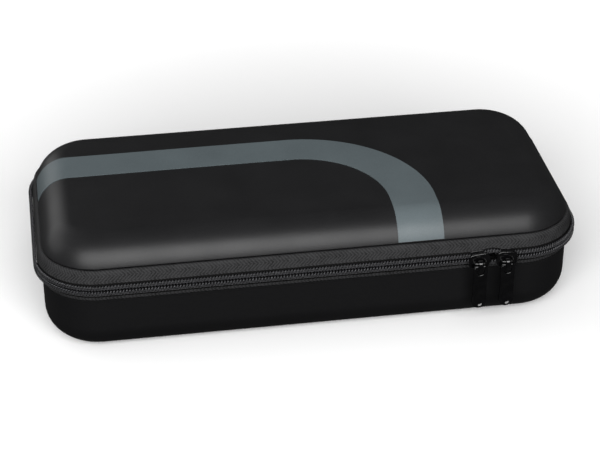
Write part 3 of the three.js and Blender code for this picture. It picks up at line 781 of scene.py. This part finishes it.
def seam(name, inset_mm, z_mm):
    """One thread round the case: its inset follows a root of a sine with a half wave for each stitch."""
    count = round(PERIMETER / STITCH)
    s = np.linspace(0, PERIMETER, count * 10, endpoint=False)
    dive = np.abs(np.sin(math.pi * s * count / PERIMETER)) ** 0.4
    path = carry(s, inset_mm * MM + 0.25 * MM * dive, np.full(s.shape, z_mm * MM))
    looped, outward = (np.vstack([line[-1:], line, line[:1]]) for line in (path, directions(s)[1]))
    ring = tube(looped, outward, 0.22 * MM, 6)[:, 1:-1]
    return surface(name, ring, close_rows=True, close_columns=True)


fit_out(binding("base_binding_ribbon", 9.0, 0.5, 23.0, 30.6), RIBBON, "base", "ribbon", "base_binding")
fit_out(binding("lid_binding_ribbon", 9.9, 0.5, 46.3, 51.2), RIBBON, "lid", "ribbon", "lid_binding")
fit_out(seam("base_seam_stitches", 9.45, 27.3), THREAD, "base", "ribbon", "base_seam_thread")
fit_out(seam("lid_seam_stitches", 10.35, 49.3), THREAD, "lid", "ribbon", "lid_seam_thread")

# %% [markdown]
# ## The fabric hinge
# A strip of heavy cloth joins the shells along the back, and a lining covers it inside. Both bend when
# the lid opens, so they ride on neither shell: they follow the base below the hinge line, the lid above
# it, and turn smoothly between.
# %% Hinge cloth and its lining
HINGE_LINE = [[9.2, 51.0], [9.0, 46.4], [6.0, 46.0], [0.6, 37.9], [5.4, 30.4], [8.4, 30.0], [8.4, 23.4]]
HINGE_LINING_LINE = [[10.45, 25], [10.45, 31], [2.4, 37.9], [11.0, 45.5], [11.3, 49.8]]
HINGE_WIDE = 144 * MM


def hinge_cloth(name, line, thick_mm):
    """The hinge's section carried straight along the middle of the back."""
    section, at = strip_section(line, thick_mm, 60)
    s = np.linspace(-HINGE_WIDE / 2, HINGE_WIDE / 2, 73)
    piece = surface(name, carry(s, section[:, :1], section[:, 1:]), close_rows=True, caps=True, u=s,
                    v=np.append(at, at[0]))
    return piece, at.max()


for name, line, thick_mm, material, slot, node in (
        ("hinge_cloth", HINGE_LINE, 0.9, HINGE_CLOTH, "woven_tape", "hinge_fabric"),
        ("hinge_inner_cloth", HINGE_LINING_LINE, 0.6, LINING, "fleece_lining", "hinge_lining")):
    cloth, wide = hinge_cloth(name, line, thick_mm)
    fit_out(cloth, material, None, slot, node)
    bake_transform(cloth)
    print(name, round(wide * 1000, 1), "by", HINGE_WIDE * 1000, "mm")

# %% [markdown]
# ## Foam insert
# The insert is cut from a closed-cell block, so its edges are soft but its walls are straight. A copy of
# the solid is wrapped in small even cells and relaxed a little, which rounds every edge as a knife and
# handling do.
# %% Foam insert
FOAM_CELL = 1.4 * MM


def foam_insert():
    """The solid's copy in even cells, with every point moved halfway to its neighbours four times."""
    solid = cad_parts["foam_insert"]
    piece = new_object("foam_tray", solid.data.copy())
    piece.data.materials.clear()
    remesh = piece.modifiers.new("cells", "REMESH")
    remesh.mode, remesh.voxel_size = "VOXEL", FOAM_CELL
    relax = piece.modifiers.new("relax", "SMOOTH")
    relax.factor, relax.iterations = 0.5, 4
    shown = piece.evaluated_get(bpy.context.evaluated_depsgraph_get())
    mesh = bpy.data.meshes.new_from_object(shown)
    piece.modifiers.clear()
    piece.data = mesh
    mesh.shade_smooth()
    return piece


foam = fit_out(foam_insert(), FOAM, "base", "foam", "foam_insert")

# %% [markdown]
# ## Net pocket
# A net covers the back half of the lid's inside. It is a thin sheet that sags slightly towards the room,
# with a gathered elastic along its free front edge. The elastic's ribs come from a ripple of its
# thickness.
# %% Net and elastic
net_low, net_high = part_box("net_pocket")
hem_low, hem_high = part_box("pocket_elastic")
NET_CORNER = CORNER - (HALF_X - net_high.x)


def net_panel():
    """A grid over the panel. Each row runs the panel's whole width there: the back corners are arcs."""
    t = np.linspace(0, 1, 30)
    y = net_low.y + (net_high.y - net_low.y) * np.sin(t * math.pi / 2)
    into = np.clip(y - (net_high.y - NET_CORNER), 0, NET_CORNER)
    half = net_high.x - NET_CORNER + np.sqrt(np.maximum(NET_CORNER ** 2 - into ** 2, 0))
    across = np.linspace(-1, 1, 61)
    x = half[:, None] * across
    z = net_low.z + 0.2 * MM + 0.35 * MM * np.sin(math.pi * t)[:, None] * np.cos(across * 9) ** 2
    under = np.stack([x, np.broadcast_to(y[:, None], x.shape), z], -1)
    over = under + np.array([0, 0, 0.3 * MM])
    grid = np.concatenate([under, over[::-1]])
    v = np.concatenate([y, y[::-1], y[:1]])
    return surface("net_panel", grid, close_rows=True, caps=True, u=across * net_high.x, v=v)


def elastic_hem():
    """A flat closed section along X whose thickness ripples once every 1.8 mm."""
    x = np.linspace(hem_low.x, hem_high.x, 700)
    turn = whole_turn(20)
    y0, z0 = (hem_low.y + hem_high.y) / 2, (hem_low.z + hem_high.z) / 2
    half_y, half_z = (hem_high.y - hem_low.y) / 2, (hem_high.z - hem_low.z) / 2
    ripple = 0.8 + 0.2 * np.sin(2 * math.pi * x / (1.8 * MM))
    y = y0 + half_y * squared(np.cos(turn), 0.4)[:, None] * (0.985 + 0.015 * ripple)
    z = z0 + half_z * squared(np.sin(turn), 0.5)[:, None] * ripple
    grid = np.stack([np.broadcast_to(x, y.shape), y, z], -1)
    around = np.linspace(0, 4 * half_y, 21)
    return surface("elastic_hem", grid, close_rows=True, caps=True, u=x, v=around)


net = fit_out(net_panel(), NET, "lid", "net", "net_pocket")
hem = fit_out(elastic_hem(), ELASTIC, "lid", "ribbon", "pocket_elastic")
cloth_area(net)

# %% [markdown]
# ## Sliders
# A slider is two plates joined by a post between the rows, with an arched bridge on the front plate. It
# is die-cast and tumbled, so every edge is round. A plate is an outline swept through a rounded edge: the
# rings move in along the outline's normal as they go up, then shrink to the middle.
# %% Rounded plates


def outward_normals(outline):
    """Normals of a closed anticlockwise outline, from the chord between each point's neighbours."""
    chord = np.roll(outline, -1, 0) - np.roll(outline, 1, 0)
    return np.stack([chord[:, 1], -chord[:, 0]], 1) / np.linalg.norm(chord, axis=1)[:, None]


def smooth_outline(points, count, times=3):
    """A closed outline with cut corners and count even points."""
    p = corner_cut(points, times, closed=True)
    return evenly(np.vstack([p, p[:1]]), count + 1)[0][:-1]


def rounded_plate(outline, low, high, edge, dome=0.0):
    """Rings from the front pole over face, round edge, wall and round edge to the back pole."""
    normal = outward_normals(outline)
    centre = outline.mean(0)
    a = np.linspace(math.pi / 2, -math.pi / 2, 14)
    inset = edge * (1 - np.cos(a))
    height = np.where(a > 0, high - edge, low + edge) + edge * np.sin(a)
    rings = outline - normal * inset[:, None, None]
    shrinks = np.linspace(0.06, 1, 8)[:-1]
    face = outline - normal * edge
    top = centre + (face - centre) * shrinks[:, None, None]
    flat = np.concatenate([top, rings, top[::-1]])
    rise = dome * (1 - shrinks ** 2)
    y = np.concatenate([high + rise, height, low + 0 * rise])
    return np.concatenate([flat, np.broadcast_to(y[:, None, None], flat.shape[:2] + (1,))], -1)


def as_slider(grid, x, y, z, nose):
    """From a plate's own (along, up, out) to the row's frame, at (x, y, z) and facing the front."""
    return np.stack([x + nose * grid[..., 0], y - grid[..., 2], z + grid[..., 1]], -1)


def join(name, pieces):
    """One piece from several."""
    bpy.ops.object.select_all(action="DESELECT")
    for piece in pieces:
        piece.select_set(True)
    bpy.context.view_layer.objects.active = pieces[0]
    bpy.ops.object.join()
    pieces[0].name = name
    pieces[0].data.name = name
    return pieces[0]


# %% [markdown]
# ## Links and pulls
# A link hangs on the slider's bridge and holds the pull's bar. The pull is flat, with an eye at its top
# and a shallow oval dish at its lower end. POST and LIP are outlines in millimetres.
# %% Sliders, links and pulls
PLATE_HALF, PLATE_HEAD, PLATE_TAIL = 5.2, 4.3, 3.5
BAR_OUT, BAR_HALF = 3.75 * MM, 3.7 * MM
LINK_DROP = 1.6 * MM
PULL_LONG, PULL_HALF = 23.6 * MM, 3.75 * MM
PULL_THICK, PULL_ROUND = 1.2 * MM, 0.38 * MM
DISH_UP, DISH_HALF_WIDE, DISH_HALF_HIGH = 5.1 * MM, 2.55 * MM, 3.9 * MM
DISH_DEEP, DISH_RIM = 0.48 * MM, 0.28 * MM
POST = [[4.6, 0.0], [3.9, 0.42], [2.2, 0.3], [1.5, 0.0], [2.2, -0.3], [3.9, -0.42]]
LIP = [[-4.1, 3.15], [-3.9, 3.6], [1.0, 4.1], [2.6, 4.15], [2.7, 3.5], [1.0, 3.4]]


def plate_outline(half, head, tail):
    """A plate's corners in millimetres: wide at the nose, where the rows part, and narrower behind."""
    return [[half, -head + 2.2], [half, head - 2.2], [half - 1.6, head], [half - 4.6, head - 0.1],
            [-half + 0.9, tail], [-half, tail - 0.9], [-half, -tail + 0.9], [-half + 0.9, -tail],
            [half - 4.6, -head + 0.1], [half - 1.6, -head]]


def slider(side):
    """Two plates, the post between them, the front plate's two lips and the arched bridge."""
    x, y, z = SLIDER_AT[side], -HALF_Y, CHAIN
    nose = 1 if side == "left" else -1
    front = smooth_outline(np.array(plate_outline(PLATE_HALF, PLATE_HEAD, PLATE_TAIL)) * MM, 72)
    back = smooth_outline(np.array(plate_outline(PLATE_HALF, 2.4, 2.2)) * MM, 60)
    post = smooth_outline(np.array(POST) * MM, 24, 2)
    lips = [smooth_outline(np.array(LIP) * [1, up] * MM, 60, 2)[::up] for up in (1, -1)]
    grids = [rounded_plate(front, 0.4 * MM, 1.5 * MM, 0.42 * MM, 0.12 * MM),
             rounded_plate(back, -5.0 * MM, -4.1 * MM, 0.3 * MM),
             rounded_plate(post, -4.5 * MM, 0.9 * MM, 0.1 * MM)]
    grids += [rounded_plate(lip, -1.7 * MM, 0.9 * MM, 0.16 * MM) for lip in lips]
    pieces = [surface(f"plate_{k}", as_slider(g, x, y, z, nose), close_columns=True, poles=True)
              for k, g in enumerate(grids)]
    bow = np.linspace(0, math.pi, 33)
    path = np.stack([x - BAR_HALF * 0.83 * squared(np.cos(bow), 0.45),
                     y - 1.2 * MM - (BAR_OUT - 1.2 * MM) * np.sin(bow) ** 0.5, np.full(33, z)], 1)
    bridge = tube(path, np.tile([0.0, 0.0, 1.0], (33, 1)), 0.62 * MM, 12)
    bridge[..., 2] = z + (bridge[..., 2] - z) * 1.15
    pieces.append(surface("bridge", bridge, close_rows=True, caps=True))
    return join("slider_body_" + side, pieces)


def stadium(radius, drop, count=48):
    """A closed loop: a half circle over the bar and one below it, joined by straight sides."""
    a = whole_turn(count)
    return np.stack([radius * np.cos(a), radius * np.sin(a) - np.where(np.sin(a) < 0, drop, 0)], 1)


def link(side):
    """A strap bent round the bridge and the pull's bar: a rounded section carried round a stadium."""
    x = SLIDER_AT[side]
    middle = stadium(1.32 * MM, LINK_DROP)
    normal = outward_normals(middle)
    turn = whole_turn(16)
    thick, wide = 0.42 * MM * squared(np.sin(turn), 0.6), 1.2 * MM * squared(np.cos(turn), 0.45)
    loop = middle[None] + normal[None] * thick[:, None, None]
    grid = np.stack([x + np.broadcast_to(wide[:, None], loop.shape[:2]), -HALF_Y - BAR_OUT + loop[..., 0],
                     CHAIN + loop[..., 1]], -1)
    return surface("pull_link_strap_" + side, grid, close_rows=True, close_columns=True)


def pull_lines():
    """The eye's edge and the tab's edge, each from its lowest point round. The tab has a slight waist."""
    half, low = PULL_HALF / MM, -PULL_LONG / MM
    end = np.linspace(math.radians(-8), math.radians(-172), 17)
    tip = np.stack([half * np.cos(end), low + half + half * np.sin(end)], 1)
    sides = np.array([[half - 0.15, low + 6.5], [half - 0.45, -11.5], [half - 0.1, -3.0], [half - 0.2, 0.2]])
    outer = smooth_outline(np.vstack([sides[::-1], tip, sides * [-1, 1]])[::-1] * MM, 120, 2)
    eye = smooth_outline(np.array([[1.95, 0.0], [-1.95, 0.0], [-1.95, -4.6], [1.95, -4.6]]) * MM, 120, 3)
    eye = np.roll(eye, -np.argmin(np.hypot(eye[:, 0], eye[:, 1] + 4.6 * MM)), 0)
    outer = np.roll(outer, -np.argmin(np.hypot(outer[:, 0], outer[:, 1] + PULL_LONG)), 0)
    return eye, outer


def pull_relief(flat, eye, outer):
    """Half the thickness, less a round edge and an oval dish with a soft step, plus the dish's rim."""
    edge = np.minimum(np.linalg.norm(flat - eye, axis=-1), np.linalg.norm(flat - outer, axis=-1))
    left = PULL_ROUND - np.minimum(edge, PULL_ROUND)
    drop = PULL_ROUND - np.sqrt(np.maximum(PULL_ROUND ** 2 - left ** 2, 0))
    up = flat[..., 1] + PULL_LONG - DISH_UP
    dish = np.hypot(flat[..., 0] / DISH_HALF_WIDE, up / DISH_HALF_HIGH)
    inside = np.clip((1 - dish) / 0.18, 0, 1)
    carve = DISH_DEEP * inside ** 2 * (3 - 2 * inside)
    rim = DISH_RIM * np.exp(-((dish - 1.06) / 0.09) ** 2)
    return PULL_THICK / 2 - drop - carve + rim


def pull(side):
    """A flat tab with an eye: lines from the eye's edge to the tab's edge, on its front and its back."""
    x, y, top = SLIDER_AT[side], -HALF_Y - BAR_OUT, CHAIN - LINK_DROP
    eye, outer = pull_lines()
    across = (1 - np.cos(np.linspace(0, math.pi, 42))) / 2
    flat = eye + (outer - eye) * np.concatenate([across, across[::-1]])[:, None, None]
    thick = pull_relief(flat, eye, outer) * np.repeat([1, -1], len(across))[:, None]
    grid = np.stack([x + flat[..., 0], y - thick, top + flat[..., 1]], -1)
    tab = surface("tab", grid, close_rows=True, close_columns=True)
    run = np.linspace(-PULL_HALF + 0.6 * MM, PULL_HALF - 0.6 * MM, 12)
    path = np.stack([x + run, np.full(12, y), np.full(12, top)], 1)
    radius = 0.6 * MM * np.sqrt(1 - np.clip(np.abs(run) / (3.2 * MM), 0, 1) ** 8 * 0.7)
    rod = tube(path, np.tile([0.0, 0.0, 1.0], (12, 1)), radius, 12)
    bar = surface("bar", rod, close_rows=True, caps=True)
    return join("pull_tab_" + side + "_cast", [tab, bar])


for side in ("left", "right"):
    fit_out(slider(side), PLATING, side + "_slider", "plated_zinc", "slider_" + side)
    fit_out(link(side), PLATING, side + "_link", "plated_zinc", "pull_link_" + side)
    fit_out(pull(side), PLATING, side + "_tab", "plated_zinc", "pull_tab_" + side)

# %% [markdown]
# ## The studio
# The case stands on plain white, which glows a little more away from the case. One broad soft light from
# the upper front draws the bright line along the lid's shoulder, and a weaker one from the back left draws
# a line up the lid's left edge. An overhead one lights the floor. It and the floor are kept out of the
# case's reflections, so that its black stays black.
# %% Floor, lights and camera


def floor():
    """A white plane whose glow rises smoothly with the distance from the case's middle."""
    mesh = bpy.data.meshes.new("floor")
    corners = [(x, y, -0.2 * MM) for x, y in ((-3, -3), (3, -3), (3, 3), (-3, 3))]
    mesh.from_pydata(corners, [], [(0, 1, 2, 3)])
    made = new_object("floor", mesh)
    material, tree, shader = finish("matte_white_floor", **{"Roughness": 0.9, "Emission Color": (1, 1, 1, 1)})
    away = add(tree, "ShaderNodeVectorMath", {0: millimetres(tree)}, operation="LENGTH").outputs["Value"]
    inputs = {"Value": away, "From Min": 130, "From Max": 420, "To Min": 0.04, "To Max": 0.50}
    glow = add(tree, "ShaderNodeMapRange", inputs, interpolation_type="SMOOTHSTEP").outputs[0]
    tree.links.new(glow, shader.inputs["Emission Strength"])
    paint(tree, shader, noise(tree, millimetres(tree), 400), 0.2, 0.8, "#f4f4f4", "#f8f8f8")
    mesh.materials.append(material)
    made.visible_glossy = False
    made.visible_diffuse = False


def light(name, place, target, width, height, power, reflected=True):
    """A soft rectangular light at a place, turned towards its target."""
    lamp = bpy.data.lights.new(name, "AREA")
    lamp.shape, lamp.size, lamp.size_y, lamp.energy = "RECTANGLE", width, height, power
    made = new_object(name, lamp)
    made.location = place
    aim = np.array(target, float) - np.array(place, float)
    made.rotation_euler = Vector(aim).to_track_quat("-Z", "Y").to_euler()
    made.visible_glossy = reflected


floor()
light("overhead", (0.0, 0.0, 1.5), (0, 0, 0), 1.6, 1.6, 6, reflected=False)
light("front", (-0.15, -1.05, 0.70), (0, 0, 0.03), 1.5, 0.9, 28)
light("left", (-1.1, 0.75, 0.60), (0, 0, 0.05), 1.8, 0.9, 7)
world = bpy.data.worlds.new("studio")
world.use_nodes = True
sky = world.node_tree.nodes["Background"].inputs
sky["Color"].default_value = (1, 1, 1, 1)
sky["Strength"].default_value = 0.05
bpy.context.scene.world = world
bpy.context.scene.view_settings.view_transform = "Standard"

camera_data = bpy.data.cameras.new("camera")
camera_data.lens = 107.9
camera = new_object("camera", camera_data)
camera.location = (-0.1226, -0.7696, 0.5096)
camera.rotation_euler = (math.radians(90 - 31.8), 0, math.radians(-9.14))
bpy.context.scene.camera = camera
